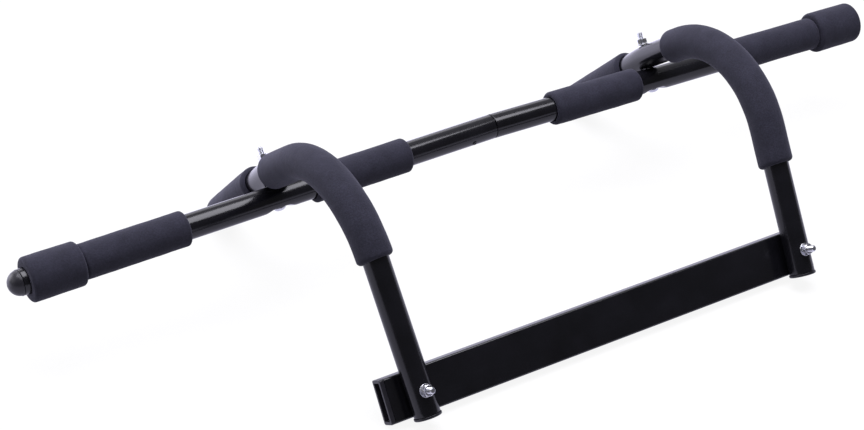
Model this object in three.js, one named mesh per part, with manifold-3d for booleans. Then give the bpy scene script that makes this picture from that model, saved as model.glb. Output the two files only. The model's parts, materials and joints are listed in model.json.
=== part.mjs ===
// Doorway pull up bar: a two-piece main bar, two curved hook arms bolted across it, and a flat
// crossbar that joins the arms' legs and bears on the wall above the door.
// Millimetres, +Z up. The bar lies on the floor on the crossbar's lower edge and its two handles.
//
// Everything is drawn in the arm frame: X along the main bar, -Y towards the legs, +Z up along
// the legs, with the main bar's axis on the X axis. The joint in the bar has play, so each half,
// with its arm, is then turned a little about the seam and the bar's ends droop. Each arm has play
// at its saddle too, and its leg leans in towards the middle. At the end the whole object is tipped
// over about X until the crossbar's edge and the handle tips share one floor, and set on z = 0.

import * as THREE from "three";
import { mergeVertices } from "three/addons/utils/BufferGeometryUtils.js";
import Module from "manifold-3d";

const wasm = await Module();
wasm.setup();

// ---- driving dimensions ----

const GAP = 0.3; // clearance between touching pieces
const TUBE_R = 12.5; // 25 mm steel tube, used for the bar and for the arms
const TUBE_WALL = 1.5;
const BORE_R = TUBE_R - TUBE_WALL;

const HALF_LENGTH = 500; // from the middle of the bar to the tip of an end cap
const DOME_HEIGHT = 12;
const DOME_STEPS = 8;
const TUBE_END = HALF_LENGTH - DOME_HEIGHT - GAP;
const SEAM_X = 21; // where the two halves of the bar meet
const SEAM_GAP = 0.9; // on the axis; the droop opens it at the top and closes it underneath
const SEAM_RISE = 3.5; // the seam above the level of the two saddles, as both halves droop
const INSERT_START = -14;
const INSERT_END = 46;
const INSERT_R = 9.9;
const INSERT_WALL = 1.5;
const SCREW_X = -6;
const SCREW_ANGLE = 58; // degrees below the leg side, round the bar
const SCREW_SHANK_R = 1.5;
const SCREW_PLAY = 1; // clearance of the screw in the insert
const SCREW_HEAD_R = 2.4;
const SCREW_HEAD_SIDE = 0.2; // height of the head's straight side, under its dome
const SCREW_HEAD_DOME = 0.4;

const FOAM_BORE_R = TUBE_R + GAP;
const GRIP_R = 17.6; // foam hand grips and arm pads
const PAD_R = 22; // thick foam pads at the ends of the bar
const FOAM_EDGE = 2.5; // rounding of a foam end

// Where the sleeves have been pushed to on each half, measured from the middle of the bar.
const FOAM_SPANS = {
  left: { end_pad: [429.6, 482], wide_grip: [322, 429], close_grip: [80, 187] },
  right: { end_pad: [435.6, 489.5], wide_grip: [318, 435], close_grip: [93, 199] },
};

const SADDLE_REACH = 222; // half the nominal distance between the saddles
// Each arm hangs on one bolt: its place along the bar, its swing about the bolt and how far it
// leans in towards the middle, in degrees.
const ARMS = {
  left: { side: -1, x: -225, swing: 0, lean: 1.3 },
  right: { side: 1, x: 219.5, swing: 2, lean: 1.7 },
};
const ARM_RISE = 24.4; // arm axis above the bar axis at the saddle
const LEG_Y = 172; // leg axis in front of the bar axis
const BEND_R = 100; // centreline radius of the big bend
const TOP_SLOPE = 4; // degrees, the arm climbs from the saddle to the bend
const HANDLE_DROOP = 10.5; // degrees, the handle falls away behind the bar
const HANDLE_LENGTH = 151; // from the saddle to the end of the handle tube
const TOP_BLEND = 12; // how far each side of the saddle the two slopes blend
const LEG_BOTTOM = -221; // the lower face of the plug in the leg
const PLUG_SPIGOT = 12; // length of a plug inside its tube
const HANDLE_PLUG = { flange: 2.4, rimR: TUBE_R - 0.4 };
const LEG_PLUG = { flange: 2.4, rimR: TUBE_R + 0.7 }; // its rim ends just under the crossbar
const PLUG_EDGE = 0.6; // bevel on a plug's rim
const SEAT_R = TUBE_R + GAP; // hollow pressed into the arm for the bar

const ARM_PAD_STARTS = { left: 13, right: 50 }; // distance of the foam from the saddle
const ARM_PAD_LENGTH = 218;
const HANDLE_FOAM_START = 33;
const HANDLE_FOAM_LIP = 3; // foam standing past the end of the handle tube

const CRIMP_DEPTH = 2.5; // flat pressed into the bar's underside for the bolt head
const CRIMP_HALF_LENGTH = 18;
const CRIMP_FLAT = 7; // half-length of the level stretch under the bolt head

const CROSSBAR_HEIGHT = 42;
const CROSSBAR_DEPTH = 16;
const CROSSBAR_WALL = 1.5;
const CROSSBAR_CORNER = 2;
const CROSSBAR_ENDS = { left: 242.5, right: 236 }; // from the middle of the bar
const CROSSBAR_Z = -197.5;
const LEG_BOLT_Z = -195.5;
const CROSSBAR_FRONT = LEG_Y - TUBE_R - GAP;
const CROSSBAR_BACK = CROSSBAR_FRONT - CROSSBAR_DEPTH;
const CROSSBAR_CAP = 4.2; // the part of an end plug that stands out of the crossbar
const CROSSBAR_SPIGOT = 10;
const CROSSBAR_POCKET = 9; // depth of the pocket in an end plug
const CROSSBAR_RIM = 3; // from the outline of the plug to its pocket
const MIN_CORNER = 1; // smallest inner corner of a rounded rectangle

// The 6 mm bolts: shank radius, width across flats, head, nut and washer.
const SHANK_R = 3;
const FLATS = 10;
const HEX_HEAD = 4;
const ROUND_HEAD_R = 5.8; // the saddle bolts have low round heads
const ROUND_HEAD = 3;
const NUT_HEIGHT = 5;
const WASHER_R = 6.3;
const WASHER = 1.2;
const HOLE_CLEARANCE = 0.35;
const HOLE_R = SHANK_R + HOLE_CLEARANCE;
const LOOSE_HOLE_R = SHANK_R + 1; // where a bolt stands slightly askew
const SKEW_GAP = 0.5; // under a head that stands slightly askew
const CREST_GAP = 0.6; // under a saddle washer, which is level where the arm slopes
const SADDLE_STUB = 7; // thread standing out of a nut
const LEG_STUB = 8;

const ROUND = 24; // segments round a tube
const SMALL_ROUND = 14; // segments round a bolt or a bore
const ARM_STEPS = 40;
const PAD_STEPS = 18;
const HEAD_STEPS = 4;
const TILT_ROUNDS = 8;
const MERGE_TOLERANCE = 0.02; // rows of points on a straight stretch are merged within this

// ---- materials ----

function finish(color, roughness, metalness) {
  return new THREE.MeshStandardMaterial({ color, roughness, metalness });
}

const glossBlack = finish(0x101014, 0.25, 0.3);
const foamBlack = finish(0x2b2a33, 0.95, 0);
const plasticBlack = finish(0x1c1c22, 0.45, 0);
const zinc = finish(0xc9ccd2, 0.3, 1);

// ---- helpers ----

const radians = THREE.MathUtils.degToRad;

// A three.js geometry as a manifold solid.
function solid(geometry) {
  const flat = geometry.index ? geometry.toNonIndexed() : geometry;
  const bare = new THREE.BufferGeometry();
  bare.setAttribute("position", flat.getAttribute("position"));
  const merged = mergeVertices(bare, 1e-4);
  const mesh = new wasm.Mesh({
    numProp: 3,
    vertProperties: merged.attributes.position.array,
    triVerts: new Uint32Array(merged.index.array),
  });
  return new wasm.Manifold(mesh);
}

// A manifold solid as a three.js geometry.
function geometryOf(manifold) {
  const mesh = manifold.getMesh();
  const geometry = new THREE.BufferGeometry();
  geometry.setAttribute("position", new THREE.BufferAttribute(mesh.vertProperties, 3));
  geometry.setIndex(new THREE.BufferAttribute(mesh.triVerts, 1));
  return geometry;
}

// geometry with each of the cutters taken away.
function cut(geometry, cutters) {
  const body = cutters.reduce((left, cutter) => left.subtract(solid(cutter)), solid(geometry));
  return geometryOf(body.simplify(MERGE_TOLERANCE));
}

// A body turned about the X axis, from a closed profile of [x, radius] points.
function turned(profile, segments = ROUND) {
  const points = profile.map(([x, radius]) => new THREE.Vector2(radius, x));
  const geometry = new THREE.LatheGeometry(points, segments);
  geometry.rotateZ(-Math.PI / 2);
  return geometry;
}

// A ring along X from x0 to x1, with stations where more rows of points are wanted.
function ringAlongX(x0, x1, outer, inner, stations = []) {
  const rows = [x0, ...stations, x1];
  const out = rows.map((x) => [x, outer]);
  const back = rows.map((x) => [x, inner]).reverse();
  return turned([...out, ...back, out[0]]);
}

// A foam sleeve along X with rounded outer edges.
function sleeveAlongX(x0, x1, outer) {
  const soft = FOAM_EDGE * (1 - Math.SQRT1_2);
  return turned([
    [x0, FOAM_BORE_R],
    [x0, outer - FOAM_EDGE],
    [x0 + soft, outer - soft],
    [x0 + FOAM_EDGE, outer],
    [x1 - FOAM_EDGE, outer],
    [x1 - soft, outer - soft],
    [x1, outer - FOAM_EDGE],
    [x1, FOAM_BORE_R],
    [x0, FOAM_BORE_R],
  ]);
}

// A solid cylinder along X, centred on the bar's axis.
function cylinderAlongX(radius, halfLength) {
  const geometry = new THREE.CylinderGeometry(radius, radius, 2 * halfLength, 2 * ROUND);
  geometry.rotateZ(Math.PI / 2);
  return geometry;
}

// A body turned about the Z axis, from [radius, height] points that start and end on the axis.
function turnedUp(profile, segments = SMALL_ROUND) {
  const points = profile.map(([radius, z]) => new THREE.Vector2(radius, z));
  const geometry = new THREE.LatheGeometry(points, segments);
  geometry.rotateX(Math.PI / 2);
  return geometry;
}

// A cylinder along Z between two heights.
function rod(radius, low, high, segments = SMALL_ROUND) {
  const geometry = new THREE.CylinderGeometry(radius, radius, high - low, segments);
  geometry.rotateX(Math.PI / 2);
  geometry.translate(0, 0, (low + high) / 2);
  return geometry;
}

// A hexagonal prism along Z between two heights.
function hexagon(low, high) {
  return rod(FLATS / Math.sqrt(3), low, high, 6);
}

// A bolt along +Z: the head under z = 0 and the shank up to length.
function bolt(head, headHeight, length) {
  const shank = solid(rod(SHANK_R, -headHeight / 2, length));
  return geometryOf(solid(head).add(shank));
}

// A low round head under z = 0.
function roundHead() {
  const profile = [[0, -ROUND_HEAD]];
  for (let i = 1; i <= HEAD_STEPS; i += 1) {
    const angle = (i / HEAD_STEPS) * (Math.PI / 2);
    profile.push([ROUND_HEAD_R * Math.sin(angle), -ROUND_HEAD * Math.cos(angle)]);
  }
  return turnedUp([...profile, [0, 0]]);
}

function nut(low) {
  const bore = rod(HOLE_R, low - 1, low + NUT_HEIGHT + 1);
  return cut(hexagon(low, low + NUT_HEIGHT), [bore]);
}

function washer(low) {
  const bore = rod(HOLE_R, low - 1, low + WASHER + 1);
  return cut(rod(WASHER_R, low, low + WASHER, ROUND), [bore]);
}

// An annular section for a tube or a sleeve that follows a curve.
function ringShape(outer, inner) {
  const shape = new THREE.Shape();
  shape.absarc(0, 0, outer, 0, 2 * Math.PI);
  const bore = new THREE.Path();
  bore.absarc(0, 0, inner, 0, 2 * Math.PI, true);
  shape.holes.push(bore);
  return shape;
}

function swept(path, outer, inner, steps) {
  return new THREE.ExtrudeGeometry(ringShape(outer, inner), {
    steps,
    curveSegments: ROUND / 2, // a full circle takes twice this number
    extrudePath: path,
  });
}

// ---- the arm's centreline, in the YZ plane ----

const slope = radians(TOP_SLOPE);
const droop = radians(HANDLE_DROOP);
const saddle = new THREE.Vector3(0, 0, ARM_RISE);
const bendCentreY = LEG_Y - BEND_R;
const bendCentreZ = ARM_RISE + Math.tan(slope) * bendCentreY - BEND_R / Math.cos(slope);
const bendTurn = Math.PI / 2 + slope;
const bendStart = pointOnBend(bendTurn);
const handleEnd = alongHandle(HANDLE_LENGTH);
const legEnd = new THREE.Vector3(0, -LEG_Y, LEG_BOTTOM + LEG_PLUG.flange + GAP);

// A point on the big bend, at an angle up from the leg.
function pointOnBend(angle) {
  const y = bendCentreY + BEND_R * Math.cos(angle);
  return new THREE.Vector3(0, -y, bendCentreZ + BEND_R * Math.sin(angle));
}

// A point on the handle, behind the bar.
function alongHandle(distance) {
  return new THREE.Vector3(0, distance * Math.cos(droop), ARM_RISE - distance * Math.sin(droop));
}

// A point on the straight stretch between the saddle and the bend.
function alongTop(distance) {
  return new THREE.Vector3(0, -distance * Math.cos(slope), ARM_RISE + distance * Math.sin(slope));
}

// The big bend, from the top stretch down to the leg.
class BigBend extends THREE.Curve {
  getPoint(t, target = new THREE.Vector3()) {
    return target.copy(pointOnBend(bendTurn * (1 - t)));
  }
}

function armPath() {
  const path = new THREE.CurvePath();
  const before = alongHandle(TOP_BLEND);
  const after = alongTop(TOP_BLEND);
  path.add(new THREE.LineCurve3(handleEnd, before));
  path.add(new THREE.QuadraticBezierCurve3(before, saddle, after));
  path.add(new THREE.LineCurve3(after, bendStart));
  path.add(new BigBend());
  path.add(new THREE.LineCurve3(pointOnBend(0), legEnd));
  return path;
}

// The same line between two distances from the saddle, for a pad that covers part of it.
function padPath(start, length) {
  const topLength = saddle.distanceTo(bendStart);
  const bendLength = BEND_R * bendTurn;
  const down = start + length - topLength - bendLength;
  const path = new THREE.CurvePath();
  path.add(new THREE.LineCurve3(alongTop(start), bendStart));
  path.add(new BigBend());
  if (down > 0) {
    const end = pointOnBend(0).add(new THREE.Vector3(0, 0, -down));
    path.add(new THREE.LineCurve3(pointOnBend(0), end));
  }
  return path;
}

// ---- pieces ----

const object = new THREE.Group();
const halves = { left: halfOfBar(-1), right: halfOfBar(1) };

// A group that holds one half of the bar with its arm. It is turned about the seam until its
// saddle is at the level z = 0.
function halfOfBar(side) {
  const seam = new THREE.Group();
  seam.position.set(SEAM_X, 0, SEAM_RISE);
  seam.rotation.y = side * Math.asin(SEAM_RISE / (SADDLE_REACH - side * SEAM_X));
  object.add(seam);
  const half = new THREE.Group();
  half.position.x = -SEAM_X;
  seam.add(half);
  return half;
}

function add(name, geometry, material, parent = object) {
  const mesh = new THREE.Mesh(geometry, material);
  mesh.name = name;
  parent.add(mesh);
  return mesh;
}

// The flat pressed into the underside of the bar round a saddle bolt.
function crimp(geometry, centreX) {
  const places = geometry.getAttribute("position");
  for (let i = 0; i < places.count; i += 1) {
    const away = Math.abs(places.getX(i) - centreX);
    if (away < CRIMP_HALF_LENGTH) {
      const ease = Math.max(0, away - CRIMP_FLAT) / (CRIMP_HALF_LENGTH - CRIMP_FLAT);
      const depth = CRIMP_DEPTH * Math.cos((ease * Math.PI) / 2) ** 2;
      const radius = Math.hypot(places.getY(i), places.getZ(i));
      places.setZ(i, Math.max(places.getZ(i), depth - radius));
    }
  }
  return geometry;
}

// Rows of points across a crimp.
function crimpStations(centreX) {
  const steps = 3;
  const rows = [];
  for (let i = 0; i <= steps; i += 1) {
    rows.push(CRIMP_FLAT + ((CRIMP_HALF_LENGTH - CRIMP_FLAT) * i) / steps);
  }
  const before = rows.map((away) => centreX - away).reverse();
  return [...before, ...rows.map((away) => centreX + away)];
}

function boltHoleAt(x) {
  const hole = rod(LOOSE_HOLE_R, -2 * TUBE_R, 2 * TUBE_R);
  hole.translate(x, 0, 0);
  return hole;
}

// The joint screw and its hole point out of the bar at SCREW_ANGLE.
function placeAtScrew(geometry) {
  geometry.rotateX(Math.PI / 2 + radians(SCREW_ANGLE));
  geometry.translate(SCREW_X, 0, 0);
  return geometry;
}

function buildMainBar() {
  const screwHole = (clearance) => placeAtScrew(rod(SCREW_SHANK_R + clearance, 0, 2 * TUBE_R));
  const leftEnd = SEAM_X - SEAM_GAP / 2;
  const rightStart = SEAM_X + SEAM_GAP / 2;

  const leftX = ARMS.left.x;
  const leftTube = ringAlongX(-TUBE_END, leftEnd, TUBE_R, BORE_R, crimpStations(leftX));
  const leftCutters = [boltHoleAt(leftX), screwHole(HOLE_CLEARANCE)];
  add("main_tube_left", cut(crimp(leftTube, leftX), leftCutters), glossBlack, halves.left);

  const rightX = ARMS.right.x;
  const rightTube = ringAlongX(rightStart, TUBE_END, TUBE_R, BORE_R, crimpStations(rightX));
  const rightBody = cut(crimp(rightTube, rightX), [boltHoleAt(rightX)]);
  add("main_tube_right", rightBody, glossBlack, halves.right);

  const insert = ringAlongX(INSERT_START, INSERT_END, INSERT_R, INSERT_R - INSERT_WALL);
  const loose = add("joint_insert", cut(insert, [screwHole(SCREW_PLAY)]), zinc);
  loose.position.z = SEAM_RISE;

  const headLow = TUBE_R + GAP;
  const headTop = headLow + SCREW_HEAD_SIDE;
  const head = turnedUp([
    [0, headLow],
    [SCREW_HEAD_R, headLow],
    [SCREW_HEAD_R, headTop],
    [SCREW_HEAD_R * Math.SQRT1_2, headTop + SCREW_HEAD_DOME * Math.SQRT1_2],
    [0, headTop + SCREW_HEAD_DOME],
  ]);
  const shank = rod(SCREW_SHANK_R, INSERT_R - 2 * INSERT_WALL, headLow + SCREW_HEAD_SIDE / 2);
  const screw = geometryOf(solid(head).add(solid(shank)));
  add("joint_screw", placeAtScrew(screw), glossBlack, halves.left);
}

// Domed plug in the end of the bar, at +X; side is -1 for the left end.
function buildEndCap(side, name) {
  const spigotR = BORE_R - GAP;
  const profile = [
    [TUBE_END - PLUG_SPIGOT, 0],
    [TUBE_END - PLUG_SPIGOT, spigotR],
    [TUBE_END + GAP, spigotR],
    [TUBE_END + GAP, TUBE_R],
  ];
  for (let i = 1; i <= DOME_STEPS; i += 1) {
    const angle = (i / DOME_STEPS) * (Math.PI / 2);
    const radius = i === DOME_STEPS ? 0 : TUBE_R * Math.cos(angle);
    profile.push([TUBE_END + GAP + DOME_HEIGHT * Math.sin(angle), radius]);
  }
  const cap = add(`end_cap_${name}`, turned(profile), plasticBlack, halves[name]);
  cap.rotation.z = side < 0 ? Math.PI : 0;
}

function buildFoam(side, name) {
  for (const [piece, [near, far]] of Object.entries(FOAM_SPANS[name])) {
    const radius = piece === "end_pad" ? PAD_R : GRIP_R;
    const [x0, x1] = side < 0 ? [-far, -near] : [near, far];
    add(`${piece}_${name}`, sleeveAlongX(x0, x1, radius), foamBlack, halves[name]);
  }
}

// A plug for the end of a tube: the tube ends at z = 0 and the rim stands out of it, towards +Z.
function tubePlug({ flange, rimR }) {
  const spigotR = BORE_R - GAP;
  return turnedUp([
    [0, -PLUG_SPIGOT],
    [spigotR, -PLUG_SPIGOT],
    [spigotR, GAP],
    [rimR, GAP],
    [rimR, GAP + flange - PLUG_EDGE],
    [rimR - PLUG_EDGE, GAP + flange],
    [0, GAP + flange],
  ], ROUND);
}

// One hook arm with its foam, its end plugs and the bolts at its saddle and its leg.
function buildArm(name) {
  const { side, x, swing, lean } = ARMS[name];
  const arm = new THREE.Group();
  arm.position.x = x;
  arm.rotation.set(0, side * radians(lean), radians(swing));
  halves[name].add(arm);

  const seat = cylinderAlongX(SEAT_R, 2 * TUBE_R);
  seat.applyQuaternion(arm.quaternion.clone().invert());
  const saddleHole = rod(HOLE_R, 0, 3 * TUBE_R);
  const legHole = alongLegBolt(rod(HOLE_R, -2 * TUBE_R, 2 * TUBE_R));
  const tube = swept(armPath(), TUBE_R, BORE_R, ARM_STEPS);
  add(`arm_tube_${name}`, cut(tube, [seat, saddleHole, legHole]), glossBlack, arm);

  const padStart = ARM_PAD_STARTS[name];
  const pad = swept(padPath(padStart, ARM_PAD_LENGTH), GRIP_R, FOAM_BORE_R, PAD_STEPS);
  add(`arm_pad_${name}`, pad, foamBlack, arm);

  const handle = new THREE.LineCurve3(
    alongHandle(HANDLE_FOAM_START),
    alongHandle(HANDLE_LENGTH + HANDLE_FOAM_LIP),
  );
  add(`handle_grip_${name}`, swept(handle, GRIP_R, FOAM_BORE_R, 1), foamBlack, arm);

  const handlePlug = tubePlug(HANDLE_PLUG);
  handlePlug.rotateX(-Math.PI / 2 - droop);
  add(`handle_plug_${name}`, handlePlug, plasticBlack, arm).position.copy(handleEnd);
  const legPlug = tubePlug(LEG_PLUG);
  legPlug.rotateX(Math.PI);
  add(`leg_plug_${name}`, legPlug, plasticBlack, arm).position.copy(legEnd);

  const headSeat = CRIMP_DEPTH - TUBE_R - GAP;
  const crest = ARM_RISE + TUBE_R + CREST_GAP;
  const nutLow = crest + WASHER + GAP;
  const saddleLength = nutLow + NUT_HEIGHT + SADDLE_STUB - headSeat;
  const saddleBolt = bolt(roundHead(), ROUND_HEAD, saddleLength);
  add(`saddle_bolt_${name}`, saddleBolt, zinc, arm).position.z = headSeat;
  add(`saddle_washer_${name}`, washer(crest), zinc, arm);
  add(`saddle_nut_${name}`, nut(nutLow), zinc, arm);

  const legCrest = TUBE_R + GAP;
  const legNutLow = legCrest + WASHER + GAP;
  const boltSeat = CROSSBAR_BACK - SKEW_GAP - LEG_Y;
  const legLength = legNutLow + NUT_HEIGHT + LEG_STUB - boltSeat;
  const legBolt = bolt(hexagon(-HEX_HEAD, 0), HEX_HEAD, legLength);
  legBolt.translate(0, 0, boltSeat);
  add(`crossbar_bolt_${name}`, alongLegBolt(legBolt), zinc, arm);
  add(`crossbar_washer_${name}`, alongLegBolt(washer(legCrest)), zinc, arm);
  add(`crossbar_nut_${name}`, alongLegBolt(nut(legNutLow)), zinc, arm);
  return arm;
}

// Turns a body along +Z to point out of the leg, away from the bar, at the leg bolt's height.
function alongLegBolt(geometry) {
  geometry.rotateX(Math.PI / 2);
  geometry.translate(0, -LEG_Y, LEG_BOLT_Z);
  return geometry;
}

// A rectangle with rounded corners, centred on the origin.
function roundedRectangle(Target, width, height, corner) {
  const path = new Target();
  const x = width / 2 - corner;
  const y = height / 2 - corner;
  path.absarc(x, y, corner, 0, Math.PI / 2);
  path.absarc(-x, y, corner, Math.PI / 2, Math.PI);
  path.absarc(-x, -y, corner, Math.PI, 1.5 * Math.PI);
  path.absarc(x, -y, corner, 1.5 * Math.PI, 2 * Math.PI);
  path.closePath();
  return path;
}

// A shape drawn as depth by height, extruded along X from x0 to x1.
function extrudedAlongX(shape, x0, x1) {
  const geometry = new THREE.ExtrudeGeometry(shape, {
    depth: x1 - x0,
    bevelEnabled: false,
    curveSegments: 4,
  });
  geometry.rotateX(Math.PI / 2);
  geometry.rotateZ(Math.PI / 2);
  geometry.translate(x0, 0, 0);
  return geometry;
}

// The outline of the crossbar, smaller all round by inset.
function crossbarOutline(Target, inset) {
  const corner = Math.max(CROSSBAR_CORNER - inset, MIN_CORNER);
  return roundedRectangle(
    Target,
    CROSSBAR_DEPTH - 2 * inset,
    CROSSBAR_HEIGHT - 2 * inset,
    corner,
  );
}

// The crossbar, with a hole where each arm's leg bolt crosses it, and its end plugs.
function buildCrossbar(arms) {
  const middle = new THREE.Vector3(0, -(CROSSBAR_FRONT + CROSSBAR_BACK) / 2, CROSSBAR_Z);
  const crossbar = new THREE.Group();
  crossbar.position.copy(middle);
  object.add(crossbar);

  const section = crossbarOutline(THREE.Shape, 0);
  section.holes.push(crossbarOutline(THREE.Path, CROSSBAR_WALL));
  object.updateMatrixWorld(true);
  const holes = arms.map((arm) => {
    const crossing = new THREE.Vector3(0, middle.y, LEG_BOLT_Z);
    crossing.applyMatrix4(arm.matrixWorld);
    const hole = rod(LOOSE_HOLE_R, -CROSSBAR_DEPTH, CROSSBAR_DEPTH);
    hole.rotateX(Math.PI / 2);
    hole.translate(crossing.x, 0, crossing.z - CROSSBAR_Z);
    return hole;
  });
  const tube = extrudedAlongX(section, -CROSSBAR_ENDS.left, CROSSBAR_ENDS.right);
  add("crossbar", cut(tube, holes), glossBlack, crossbar);

  for (const [name, end] of Object.entries(CROSSBAR_ENDS)) {
    const cap = add(`crossbar_cap_${name}`, crossbarPlug(end), plasticBlack, crossbar);
    cap.rotation.z = name === "left" ? Math.PI : 0;
  }
}

// The plug in the crossbar's end, with a deep pocket in its face.
function crossbarPlug(end) {
  const rimLow = end + GAP;
  const face = rimLow + CROSSBAR_CAP;
  const rim = solid(extrudedAlongX(crossbarOutline(THREE.Shape, 0), rimLow, face));
  const spigotShape = crossbarOutline(THREE.Shape, CROSSBAR_WALL + GAP);
  const spigot = extrudedAlongX(spigotShape, end - CROSSBAR_SPIGOT, face - CROSSBAR_CAP / 2);
  const pocketShape = crossbarOutline(THREE.Shape, CROSSBAR_RIM);
  const pocket = extrudedAlongX(pocketShape, face - CROSSBAR_POCKET, face + GAP);
  return geometryOf(rim.add(solid(spigot)).subtract(solid(pocket)));
}

// ---- assembly ----

buildMainBar();
for (const [side, name] of [[-1, "left"], [1, "right"]]) {
  buildEndCap(side, name);
  buildFoam(side, name);
}
buildCrossbar([buildArm("left"), buildArm("right")]);

// Tip the object until the crossbar's rounded lower edge and the lowest edges of the handles'
// foam are level, taking the arms as straight. The point where the edge touches the floor depends
// on the tilt, so repeat.
const handleTip = alongHandle(HANDLE_LENGTH + HANDLE_FOAM_LIP);
const tipFootY = handleTip.y - GRIP_R * Math.sin(droop);
const tipFootZ = handleTip.z - GRIP_R * Math.cos(droop);
let tilt = 0;
for (let i = 0; i < TILT_ROUNDS; i += 1) {
  const roundY = -CROSSBAR_BACK - CROSSBAR_CORNER;
  const roundZ = CROSSBAR_Z - CROSSBAR_HEIGHT / 2 + CROSSBAR_CORNER;
  const footY = roundY + CROSSBAR_CORNER * Math.sin(tilt);
  const footZ = roundZ - CROSSBAR_CORNER * Math.cos(tilt);
  tilt = Math.atan2(tipFootZ - footZ, tipFootY - footY);
}
object.rotation.x = -tilt;

const part = new THREE.Group();
part.add(object);
part.updateMatrixWorld(true);
const box = new THREE.Box3().setFromObject(part, true);
const centre = box.getCenter(new THREE.Vector3());
object.position.set(-centre.x, -centre.y, -box.min.z);

export default part;
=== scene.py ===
"""Doorway pull up bar: its detailed surfaces, materials, light and camera, built round the CAD frame.

Every piece is drawn in the bar's own axes, in millimetres: X along the bar, -Y towards the legs and
+Z up along them, with the bar's axis on the X axis. A piece is put into the row frame when its mesh
is made. The sizes repeat those of part.mjs, but the foam is 0.1 mm slimmer and has rounder edges.
"""

import json
import math

import bmesh
import bpy
import numpy as np
from mathutils import Matrix, Vector, noise


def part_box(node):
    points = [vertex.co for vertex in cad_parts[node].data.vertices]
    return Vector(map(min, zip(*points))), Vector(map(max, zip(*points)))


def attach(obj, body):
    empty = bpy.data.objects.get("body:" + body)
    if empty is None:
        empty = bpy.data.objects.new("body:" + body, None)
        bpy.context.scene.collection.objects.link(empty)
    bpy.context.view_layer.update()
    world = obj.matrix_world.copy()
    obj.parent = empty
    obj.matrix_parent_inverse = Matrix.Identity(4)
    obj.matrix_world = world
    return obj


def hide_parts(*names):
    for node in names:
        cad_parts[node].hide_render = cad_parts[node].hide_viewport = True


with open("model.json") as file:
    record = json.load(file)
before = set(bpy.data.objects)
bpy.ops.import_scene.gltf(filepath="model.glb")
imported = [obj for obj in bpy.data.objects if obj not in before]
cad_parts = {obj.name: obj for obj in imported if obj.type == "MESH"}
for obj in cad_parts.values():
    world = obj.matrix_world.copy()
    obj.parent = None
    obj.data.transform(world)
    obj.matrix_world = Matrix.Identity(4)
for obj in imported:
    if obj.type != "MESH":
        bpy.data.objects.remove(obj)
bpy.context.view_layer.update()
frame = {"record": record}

# ---- sizes, in millimetres ----

MM = 0.001  # metres
GAP = 0.3  # between pieces that would touch
TUBE_R = 12.5
TUBE_WALL = 1.5
BORE_R = TUBE_R - TUBE_WALL
SIDES = {"left": -1, "right": 1}

HALF_LENGTH = 500
DOME_HEIGHT = 12
CAP_RIM = 1.3
CAP_NECK = 1.6  # from the rim's back to the foot of the dome
CAP_NECK_R = TUBE_R - 0.45
GATE_R = 1.3  # of the gate's mark at the dome's tip
TUBE_END = HALF_LENGTH - DOME_HEIGHT - GAP
SEAM_X = 21
SEAM_GAP = 0.9
SEAM_RISE = 3.5  # the seam above the two saddles, as both halves droop
INSERT_SPAN = (-14, 46)
INSERT_R = 9.9
SCREW_X = -6
SCREW_ANGLE = 58  # degrees below the leg side, round the bar
SCREW_SHANK_R = 1.5
SCREW_PLAY = 1
SCREW_HEAD_R = 2.4
SCREW_HEAD_SIDE = 0.2
SCREW_HEAD_DOME = 0.4
SCREW_SOCKET_R = 1.0

FOAM_BORE_R = TUBE_R + GAP
GRIP_R = 17.5
PAD_R = 21.9
FOAM_EDGE = 3.2
SOFT_EDGE = 4.4  # rounding of the foam's ends on the arms
FOAM_SPANS = {
    "left": {"end_pad": (429.7, 482), "wide_grip": (322, 429), "close_grip": (80, 187)},
    "right": {"end_pad": (435.7, 489.5), "wide_grip": (318, 435), "close_grip": (93, 199)},
}

SADDLE_REACH = 222
# where each arm lies along the bar, and how it is turned, in degrees
ARMS = {"left": {"x": -225, "swing": 0, "lean": 1.3}, "right": {"x": 219.5, "swing": 2, "lean": 1.7}}
ARM_RISE = 24.4
LEG_Y = 172
BEND_R = 100
TOP_SLOPE = math.radians(4)
HANDLE_DROOP = math.radians(10.5)
HANDLE_LENGTH = 151
TOP_BLEND = 12
LEG_BOTTOM = -221
LEG_PLUG = (2.4, TUBE_R + 0.7)  # flange and the radius of its rim
HANDLE_PLUG = (2.4, TUBE_R - 0.4)
PLUG_SPIGOT = 12
LEG_END = LEG_BOTTOM + LEG_PLUG[0] + GAP
SEAT_R = TUBE_R + GAP

ARM_PAD_STARTS = {"left": 13, "right": 50}
ARM_PAD_LENGTH = 218
HANDLE_FOAM = (33, HANDLE_LENGTH + 3)

CRIMP_DEPTH = 2.5
CRIMP_HALF_LENGTH = 18
CRIMP_FLAT = 7
CRIMP_SOFTNESS = 0.35
SADDLE_SOFTNESS = 0.3
SADDLE_SPAN = (-16, 16)  # along the arm, where its rows are close

CROSSBAR_HEIGHT = 42
CROSSBAR_DEPTH = 16
CROSSBAR_WALL = 1.5
CROSSBAR_CORNER = 2
CROSSBAR_ENDS = {"left": 242.5, "right": 236}
CROSSBAR_Z = -197.5
LEG_BOLT_Z = -195.5
CROSSBAR_FRONT = LEG_Y - TUBE_R - GAP
CROSSBAR_BACK = CROSSBAR_FRONT - CROSSBAR_DEPTH
CROSSBAR_CAP = 4.2
CROSSBAR_SPIGOT = 10
CROSSBAR_POCKET = 9
CROSSBAR_RIM = 3

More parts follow.
